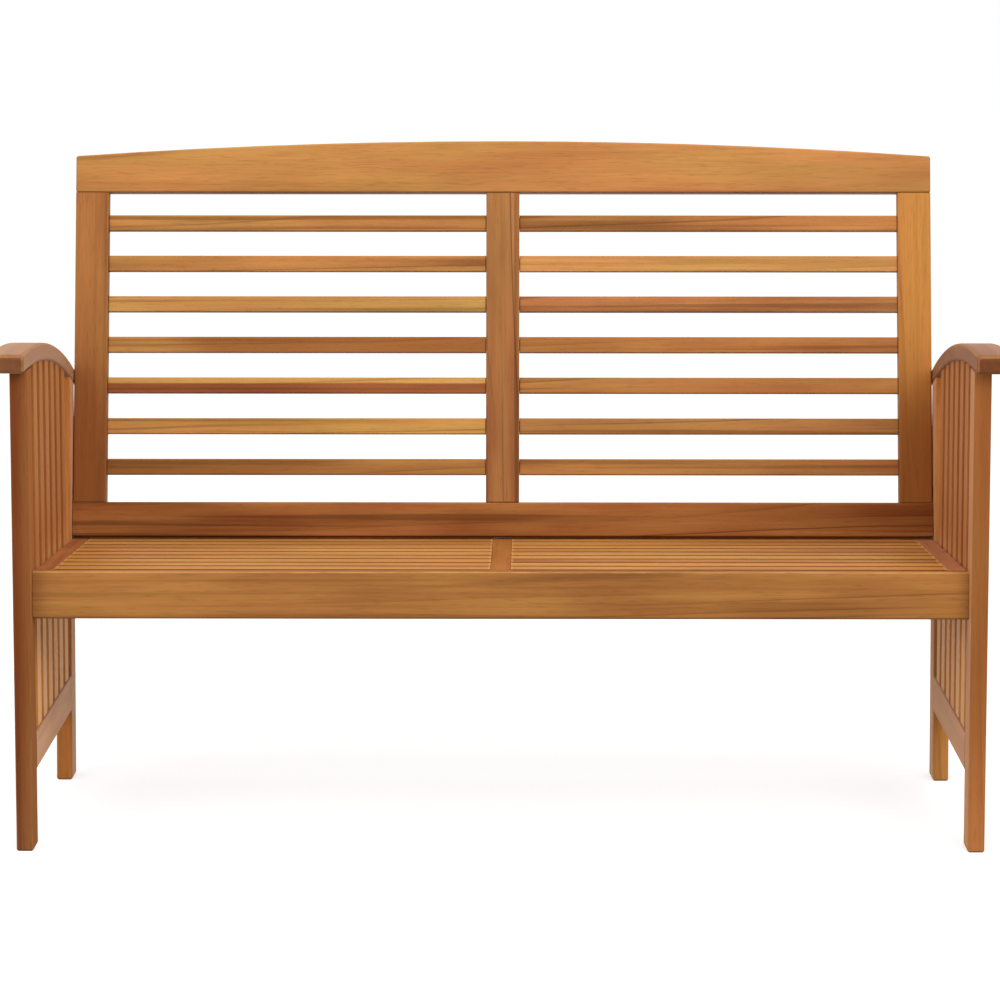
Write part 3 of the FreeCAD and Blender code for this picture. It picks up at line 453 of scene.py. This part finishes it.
def woodColour(tree, look, place, facing, grain, sap, wearAndPaintedLight):
    finish = woodFinish
    pale = boardColour(look["tone"] - look["spread"], look["tint"])
    deep = boardColour(look["tone"] + look["spread"], look["tint"])

    def blend(colour, mask, strength, other):
        return mixColour(tree, mathStep(tree, "MULTIPLY", mask, strength), colour, finishColour(other))

    share = mathStep(tree, "MULTIPLY", grain["Bands"], finish["bandShare"])
    share = mathStep(tree, "MULTIPLY_ADD", grain["Cloud"], finish["cloudShare"], share)
    colour = mixColour(tree, share, pale, deep)
    hue = mixColour(tree, grain["Hue"], look["cool"], look["warm"])
    colour = mixColour(tree, 1.0, colour, hue, "MULTIPLY")
    colour = blend(colour, sap["Sapwood"], look["sapStrength"], "sapwood")
    colour = blend(colour, grain["Lines"], look["lines"], "line")
    colour = blend(colour, grain["Streaks"], look["streaks"], "line")
    fibre = fadeBetween(tree, grain["Fibres"], finish["fibreSpan"], *finish["fibreShade"])
    colour = mixColour(tree, 1.0, colour, joinVector(tree, fibre, fibre, fibre), "MULTIPLY")
    colour = blend(colour, grain["Pores"], finish["poreShare"], "line")
    # pale edges: wear and painted highlight
    colour = blend(colour, wearAndPaintedLight["Wear"], finish["wornAndPaintedHighlightShare"], "wornAndPaintedHighlight")
    colour = blend(colour, wearAndPaintedLight["Sawn End"], finish["sawnShare"], "line")
    colour = blend(colour, wearAndPaintedLight["Joint"], look["joint"], look["jointColour"])
    # painted shade on faces turned down
    colour = blend(colour, wearAndPaintedLight["PaintedUndersideShade"], finish["undersideShadeShare"], "shaded")
    if "gapShade" in look:
        # painted shade on faces that look into the gap beside the next slat
        gap = mathStep(tree, "ABSOLUTE", splitVector(tree, facing)[1])
        colour = blend(colour, fadeBetween(tree, gap, finish["gapFacing"]), look["gapShade"], "shaded")
    for clear, dark, strength in look["fades"]:
        # painted shade and darker heartwood towards one end of the board
        along = splitVector(tree, place)[0]
        along = mathStep(tree, "MULTIPLY_ADD", grain["Cloud"], finish["deepenedWaver"], along)
        if clear > dark:
            share = fadeBetween(tree, along, (dark, clear), strength, 0)
        else:
            share = fadeBetween(tree, along, (clear, dark), 0, strength)
        colour = mixColour(tree, share, colour, finishColour("deepened"))
    if "topShade" in look:
        # painted shade on the top face between the slats
        top = fadeBetween(tree, splitVector(tree, facing)[2], finish["flatFacing"])
        colour = blend(colour, top, look["topShade"], "shaded")
    return colour


def woodBoard(node, look):
    # one material per board, because no two boards come from the same place in a tree
    look = {**usualBoard, **look}
    finish = woodFinish
    middle, half = boardSize(node, look["turn"])
    material, tree = newMaterial(node + "Wood")
    coordinates = tree.nodes.new("ShaderNodeTexCoord").outputs
    place = turnedCoordinates(tree, "POINT", coordinates["Object"], look["turn"], -middle)
    facing = turnedCoordinates(tree, "VECTOR", coordinates["Normal"], look["turn"])
    grain = useGroup(tree, grainGroup, Place=place, Seed=look["seed"], Pith=finish["pith"],
                     Ring_Spacing=look["rings"], Wander=finish["wander"], Drift=look["drift"])
    sap = useGroup(tree, sapwoodGroup, Place=place, Seed=look["seed"], Direction=look["sapSide"],
                   Border=look["sapBorder"], Softness=look["sapSoftness"])
    wearAndPaintedLight = useGroup(tree, wearAndPaintedLightGroup, Place=place, Facing=facing, Upright=coordinates["Normal"],
                    Amount=look["wearAndPaintedLight"],
                    Visible_Half=half.x - look["tenon"] if "tenon" in look else finish["noJoint"])

    shader = tree.nodes.new("ShaderNodeBsdfPrincipled")
    colour = woodColour(tree, look, place, facing, grain, sap, wearAndPaintedLight)
    if "paintedSheenSide" in look:
        # painted sheen: the lower half of the faces towards the middle of the bench painted pale, with a
        # coat for more shine
        coatAndPaintedSheen = mathStep(tree, "MULTIPLY", splitVector(tree, facing)[2], look["paintedSheenSide"])
        lower = fadeBetween(tree, splitVector(tree, place)[0], finish["paintedSheenHeight"], 1, 0)
        coatAndPaintedSheen = mathStep(tree, "MULTIPLY", fadeBetween(tree, coatAndPaintedSheen, finish["flatFacing"]), lower)
        share = mathStep(tree, "MULTIPLY", coatAndPaintedSheen, finish["paintedSheenShare"])
        colour = mixColour(tree, share, colour, finishColour("paintedSheen"))
        shader.inputs["Coat Roughness"].default_value = finish["coatRoughness"]
        tree.links.new(mathStep(tree, "MULTIPLY", coatAndPaintedSheen, finish["coat"]), shader.inputs["Coat Weight"])

    low, high = finish["roughness"]
    roughness = mathStep(tree, "MULTIPLY_ADD", grain["Fibres"], high - low, low)
    roughness = mathStep(tree, "MULTIPLY_ADD", grain["Cloud"], finish["cloudRough"], roughness)
    roughness = mathStep(tree, "MULTIPLY_ADD", wearAndPaintedLight["Wear"], finish["wornRough"], roughness)
    roughness = mathStep(tree, "MULTIPLY_ADD", wearAndPaintedLight["Sawn End"], finish["sawnRough"], roughness)

    height = mathStep(tree, "MULTIPLY", grain["Bands"], finish["bandHeight"])
    height = mathStep(tree, "MULTIPLY_ADD", grain["Fibres"], finish["fibreHeight"], height)
    height = mathStep(tree, "MULTIPLY_ADD", grain["Pores"], finish["poreHeight"], height)

    shader.inputs["IOR"].default_value = finish["refraction"]
    shader.inputs["Specular IOR Level"].default_value = look["gloss"]
    shader.inputs["Sheen Weight"].default_value = look["sheen"]
    shader.inputs["Sheen Roughness"].default_value = finish["sheenRoughness"]
    shader.inputs["Sheen Tint"].default_value = shownColour(*look["sheenColour"])
    tree.links.new(colour, shader.inputs["Base Color"])
    tree.links.new(roughness, shader.inputs["Roughness"])
    bump = surfaceBump(tree, height, finish["bumpStrength"], finish["bumpDistance"])
    tree.links.new(bump, shader.inputs["Normal"])
    output = tree.nodes.new("ShaderNodeOutputMaterial")
    tree.links.new(shader.outputs[0], output.inputs["Surface"])
    dress(node, material)


sideFrameLook = {
    "left_front_leg": {
        "turn": grainAlongZ, "tone": 0.9, "seed": 1.3, "spread": 0.26, "streaks": 0.3,
        "tint": (0.9, 0.88, 1.02), "cool": (1.02, 1.0, 0.98, 1), "fades": [(-0.3, -0.02, 0.3)],
        "gloss": 0.0, "sheen": 0.36, "sheenColour": (255, 170, 110),
        "sapSide": (0, 0, -1), "sapBorder": 0.003, "sapSoftness": 0.008, "sapStrength": 0.14},
    "right_front_leg": {
        "turn": grainAlongZ, "tone": 0.25, "seed": 2.1, "spread": 0.3,
        "tint": (1.02, 0.98, 0.98), "fades": [(-0.3, 0.0, 0.6)],
        "gloss": 0.06, "sheen": 0.76, "sheenColour": (255, 190, 140)},
    "left_rear_leg": {
        "turn": (legTilt, 90, 0), "tone": 0.32, "seed": 3.4, "tint": (1.03, 0.96, 0.84),
        "sheen": 0.6, "sheenColour": (255, 205, 165)},
    "right_rear_leg": {
        "turn": (legTilt, 90, 0), "tone": 0.2, "seed": 4.2, "tint": (1.03, 0.97, 0.9),
        "sheen": 0.7, "sheenColour": (255, 205, 165)},
    "left_lower_side_rail": {
        "turn": grainAlongY, "tone": 0.18, "seed": 5.7, "tint": (1.05, 0.97, 0.8),
        "tenon": 0.025, "topShade": 0.6, "sheen": 0.4},
    "right_lower_side_rail": {
        "turn": grainAlongY, "tone": 0.1, "seed": 6.3, "tint": (1.05, 0.97, 0.86),
        "tenon": 0.025, "topShade": 0.6, "sheen": 0.5},
    "left_armrest": {
        "turn": grainAlongY, "tone": 0.74, "seed": 7.9, "spread": 0.28, "tint": (0.99, 1.0, 1.0),
        "gloss": 0.26, "sheen": 0.36, "sheenColour": (255, 210, 170)},
    "right_armrest": {
        "turn": grainAlongY, "tone": 0.82, "seed": 8.4, "spread": 0.28, "tint": (0.96, 0.97, 0.98),
        "gloss": 0.15, "sheen": 0.14},
    # side slats on both sides: edges painted pale as wear and highlight, painted shade towards the top,
    # and painted sheen on the lower inner faces
    "left_side_slats": {
        "turn": grainAlongZ, "tone": 0.06, "seed": 9.6, "spread": 0.32, "wearAndPaintedLight": 1.8,
        "tint": (1.04, 0.98, 0.92), "fades": [(-0.17, 0.03, 0.6)], "paintedSheenSide": -1,
        "gloss": 0.02, "sheen": 0.42, "sheenColour": (255, 185, 130)},
    "right_side_slats": {
        "turn": grainAlongZ, "tone": 0.06, "seed": 10.2, "spread": 0.32, "wearAndPaintedLight": 1.8,
        "tint": (1.04, 0.98, 0.94), "fades": [(-0.17, 0.03, 0.56)], "paintedSheenSide": 1,
        "gloss": 0.02, "sheen": 0.5, "sheenColour": (255, 185, 135)},
}
for node, look in sideFrameLook.items():
    woodBoard(node, look)
print("side frames finished")


seatRailLook = {
    "seat_front_rail": {
        "turn": (seatTilt, 0, 0), "tone": 0.5, "seed": 11.8, "spread": 0.26, "wearAndPaintedLight": 1.3,
        "streaks": 0.28, "lines": 0.34, "rings": 0.009, "tint": (0.98, 0.99, 0.94),
        "warm": (1.02, 0.97, 0.98, 1), "cool": (1.0, 1.01, 0.97, 1)},
    "seat_rear_rail": {
        "turn": (seatTilt, 0, 0), "tone": 0.8, "seed": 12.4, "gloss": 0.0},
    "seat_centre_rail": {
        "turn": (seatTilt, 0, -90), "tone": 0.5, "seed": 13.1, "tint": (1.03, 0.98, 0.9), "gloss": 0.03},
    "left_seat_side_rail": {
        "turn": (seatTilt, 0, -90), "tone": 0.56, "seed": 14.9, "tint": (1.08, 0.97, 0.95),
        "gloss": 0.0, "sheen": 0.1},
    "right_seat_side_rail": {
        "turn": (seatTilt, 0, -90), "tone": 0.54, "seed": 15.2, "tint": (1.08, 0.97, 1.1),
        "gloss": 0.0, "sheen": 0.2},
}
# seat slats: painted shade on the faces in the gaps, and ends painted pale as wear and painted highlight
seatSlatLook = {
    "turn": (seatTilt, 0, 0), "tint": (1.04, 1.02, 0.93), "wearAndPaintedLight": 0.7, "gloss": 0.1,
    "gapShade": 0.75, "tenon": 0.0105, "jointColour": "wornAndPaintedHighlight",
}
seatSlatTones = {
    "left": [0.1, 0.16, 0.04, 0.24, 0.12, 0.08, 0.26, 0.2, 0.3],     # from the front
    "right": [0.2, 0.08, 0.5, 0.14, 0.2, 0.34, 0.12, 0.3, 0.34],
}
seatSlatSeeds = {"left": 20.3, "right": 37.3, "step": 1.7}
for node, look in seatRailLook.items():
    woodBoard(node, look)
for side, tones in seatSlatTones.items():
    for number, tone in enumerate(tones, 1):
        seed = seatSlatSeeds[side] + seatSlatSeeds["step"] * number
        woodBoard("%s_seat_slat_%d" % (side, number), {**seatSlatLook, "tone": tone, "seed": seed})
print("seat finished")


backFrameLook = {
    "back_top_rail": {
        "turn": (backTilt, 0, 0), "tone": 0.17, "seed": 51.3, "streaks": 0.04,
        "fades": [(-0.42, -0.58, 0.2), (0.42, 0.58, 0.2)]},
    "back_bottom_rail": {
        "turn": (backTilt, 0, 0), "tone": 0.64, "seed": 57.6, "spread": 0.34, "lines": 0.65,
        "rings": 0.007, "drift": 0.022, "streaks": 0.5, "tint": (1.03, 0.99, 1.02),
        "fades": [(-0.1, 0.3, 0.24)], "gloss": 0.04},
    "left_back_stile": {
        "turn": (backTilt, 90, 0), "tone": 0.46, "seed": 53.1, "spread": 0.2, "streaks": 0.2,
        "warm": (1.02, 0.96, 0.96, 1), "fades": [(0.12, -0.12, 0.38)],
        "wearAndPaintedLight": 0.8, "tenon": 0.018, "joint": 0.25},
    "right_back_stile": {
        "turn": (backTilt, 90, 0), "tone": 0.24, "seed": 54.6, "spread": 0.14, "tint": (1.03, 1.0, 0.88),
        "warm": (1.02, 0.97, 0.96, 1), "cool": (0.99, 1.02, 0.98, 1), "fades": [(0.05, -0.12, 0.62)],
        "wearAndPaintedLight": 0.8, "tenon": 0.018, "joint": 0.25},
    "back_centre_stile": {
        "turn": (backTilt, 90, 0), "tone": 0.54, "seed": 55.2, "spread": 0.32, "tint": (1, 1, 1.08),
        "lines": 0.6, "rings": 0.008, "streaks": 0.5, "tenon": 0.018},
}
backSlatLook = {
    "turn": (backTilt, 0, 0), "spread": 0.32, "streaks": 0.4, "lines": 0.4, "rings": 0.008, "tenon": 0.01,
}
backSlatTones = {
    "left": [0.42, 0.02, 0.62, 0.5, 0.0, 0.34, 0.16],     # from below
    "right": [0.5, 0.36, 0.52, 0.4, 0.42, 0.0, 0.32],
}
backSlatSeeds = {"left": 60.4, "right": 75.4, "step": 1.9}
backSlatFeatures = {
    ("left", 2): {"tint": (1.04, 1.1, 1.1)},
    ("left", 3): {"tint": (1.02, 0.95, 1.05), "tone": 0.86,
                  "sapBorder": 0.002, "sapSoftness": 0.0015, "sapStrength": 0.8},    # pale upper edge
    ("left", 4): {"tone": 0.1, "fades": [(-0.19, -0.09, 0.5)]},                      # pale left end
    ("left", 5): {"tint": (1.01, 1.09, 1.1)},
    ("right", 2): {"tint": (1, 1.04, 1.08)},
    ("right", 5): {"tint": (1, 0.99, 1.06)},
    ("right", 6): {"tint": (1.08, 1.11, 1.15), "lines": 0.2, "streaks": 0.25},
}
for node, look in backFrameLook.items():
    woodBoard(node, look)
for side, tones in backSlatTones.items():
    for number, tone in enumerate(tones, 1):
        seed = backSlatSeeds[side] + backSlatSeeds["step"] * number
        look = {**backSlatLook, "tone": tone, "seed": seed, **backSlatFeatures.get((side, number), {})}
        woodBoard("%s_back_slat_%d" % (side, number), look)
print("back finished")


# metal and plastic fittings
fittingLook = {
    "connector_bolts": "steel", "barrel_nuts": "steel", "seat_rear_bolts": "steel",
    "seat_rear_washers": "steel", "seat_rear_nuts": "steel", "back_spacers": "plastic",
}
fittingFinish = {
    "steel": {
        "colour": (186, 188, 190), "shade": (150, 152, 156), "metallic": 1.0, "roughness": (0.28, 0.48)},
    "plastic": {
        "colour": (46, 38, 34), "shade": (34, 28, 25), "metallic": 0.0, "roughness": (0.45, 0.62)},
}
fittingSurface = {
    "rubbed": (224, 222, 216),
    "rubbedShare": 0.3,
    "bumpStrength": 0.2,
    "bumpDistance": 0.0002,
}


def fittingMaterial(name, finish):
    surface = fittingSurface
    material, tree = newMaterial(name + "Fitting")
    coordinates = tree.nodes.new("ShaderNodeTexCoord").outputs
    speckle = useGroup(tree, speckleGroup, Place=coordinates["Object"])
    wearAndPaintedLight = useGroup(tree, wearAndPaintedLightGroup, Place=coordinates["Object"], Facing=coordinates["Normal"],
                    Upright=coordinates["Normal"])
    clean, shade = shownColour(*finish["colour"]), shownColour(*finish["shade"])
    colour = mixColour(tree, speckle["Patches"], clean, shade)
    rubbed = mathStep(tree, "MULTIPLY", wearAndPaintedLight["Wear"], surface["rubbedShare"])
    colour = mixColour(tree, rubbed, colour, shownColour(*surface["rubbed"]))
    low, high = finish["roughness"]
    roughness = mathStep(tree, "MULTIPLY_ADD", speckle["Patches"], high - low, low)
    bump = surfaceBump(tree, speckle["Grains"], surface["bumpStrength"], surface["bumpDistance"])
    shader = tree.nodes.new("ShaderNodeBsdfPrincipled")
    shader.inputs["Metallic"].default_value = finish["metallic"]
    tree.links.new(colour, shader.inputs["Base Color"])
    tree.links.new(roughness, shader.inputs["Roughness"])
    tree.links.new(bump, shader.inputs["Normal"])
    output = tree.nodes.new("ShaderNodeOutputMaterial")
    tree.links.new(shader.outputs[0], output.inputs["Surface"])
    return material


fittingMaterials = {name: fittingMaterial(name, finish) for name, finish in fittingFinish.items()}
for node, kind in fittingLook.items():
    dress(node, fittingMaterials[kind])
print("fittings finished")


# floor, light and camera, in metres and watts
studio = {
    "floorSize": 40,
    "floorDrop": 0.0002,        # below the feet
    "floorColour": (205, 205, 205),
    "floorGlow": 0.66,
    "worldColour": (1, 1, 1, 1),
    "worldLight": 0.6,          # on the bench
    "worldSeen": 1.0,
    "lampTarget": (0, 0, 0.4),
}
lampLook = {
    "keyLamp": {"place": (1.6, -3.4, 3.0), "size": 2.6, "power": 74},
    "fillLamp": {"place": (-2.4, -3.2, 1.8), "size": 2.6, "power": 38},
    "topLamp": {"place": (0, 0.2, 3.6), "size": 3.0, "power": 34},
}
cameraLook = {
    "place": (0.0309, -4.6751, 1.0598),
    "down": 7.062,       # degrees below the horizon
    "left": 0.403,       # degrees to the left of straight ahead
    "lens": 138.0,
    "sensor": 36.0,
    "shift": -0.08,
    "clip": (0.1, 100),
}


def seenDirectly(tree):
    # 1 for the camera and for clear reflections of what it sees
    path = tree.nodes.new("ShaderNodeLightPath").outputs
    seen = mathStep(tree, "MAXIMUM", path["Is Camera Ray"], path["Is Glossy Ray"])
    return mathStep(tree, "MAXIMUM", seen, path["Is Transmission Ray"])


def makeFloor():
    half = studio["floorSize"] / 2
    mesh = bpy.data.meshes.new("studioFloor")
    corners = [(-half, -half, 0), (half, -half, 0), (half, half, 0), (-half, half, 0)]
    mesh.from_pydata(corners, [], [(0, 1, 2, 3)])
    floor = bpy.data.objects.new("studioFloor", mesh)
    floor.location.z = cadBox[0].z - studio["floorDrop"]
    scene.collection.objects.link(floor)
    material, tree = newMaterial("studioFloor")
    diffuse = tree.nodes.new("ShaderNodeBsdfDiffuse")
    diffuse.inputs["Color"].default_value = shownColour(*studio["floorColour"])
    glow = tree.nodes.new("ShaderNodeEmission")
    strength = mathStep(tree, "MULTIPLY", seenDirectly(tree), studio["floorGlow"])
    tree.links.new(strength, glow.inputs["Strength"])
    both = tree.nodes.new("ShaderNodeAddShader")
    tree.links.new(diffuse.outputs[0], both.inputs[0])
    tree.links.new(glow.outputs[0], both.inputs[1])
    output = tree.nodes.new("ShaderNodeOutputMaterial")
    tree.links.new(both.outputs[0], output.inputs["Surface"])
    mesh.materials.append(material)


def makeWorld():
    world = bpy.data.worlds.new("studioWorld")
    scene.world = world
    world.use_nodes = True
    tree = world.node_tree
    tree.nodes.clear()
    background = tree.nodes.new("ShaderNodeBackground")
    background.inputs["Color"].default_value = studio["worldColour"]
    level = fadeBetween(tree, seenDirectly(tree), (0, 1), studio["worldLight"], studio["worldSeen"])
    tree.links.new(level, background.inputs["Strength"])
    output = tree.nodes.new("ShaderNodeOutputWorld")
    tree.links.new(background.outputs[0], output.inputs["Surface"])


def makeLamps():
    for name, look in lampLook.items():
        light = bpy.data.lights.new(name, "AREA")
        light.shape = "DISK"
        light.size = look["size"]
        light.energy = look["power"]
        lamp = bpy.data.objects.new(name, light)
        lamp.location = look["place"]
        aim = Vector(studio["lampTarget"]) - lamp.location
        lamp.rotation_euler = aim.to_track_quat("-Z", "Y").to_euler()
        scene.collection.objects.link(lamp)


def makeCamera():
    lens = bpy.data.cameras.new("frontCamera")
    lens.lens = cameraLook["lens"]
    lens.sensor_width = cameraLook["sensor"]
    lens.shift_y = cameraLook["shift"]
    lens.clip_start, lens.clip_end = cameraLook["clip"]
    camera = bpy.data.objects.new("frontCamera", lens)
    camera.location = cameraLook["place"]
    camera.rotation_euler = (math.radians(90 - cameraLook["down"]), 0, math.radians(cameraLook["left"]))
    scene.collection.objects.link(camera)
    scene.camera = camera


makeFloor()
makeWorld()
makeLamps()
makeCamera()
scene.view_settings.view_transform = "Standard"
print("floor, light and camera ready")
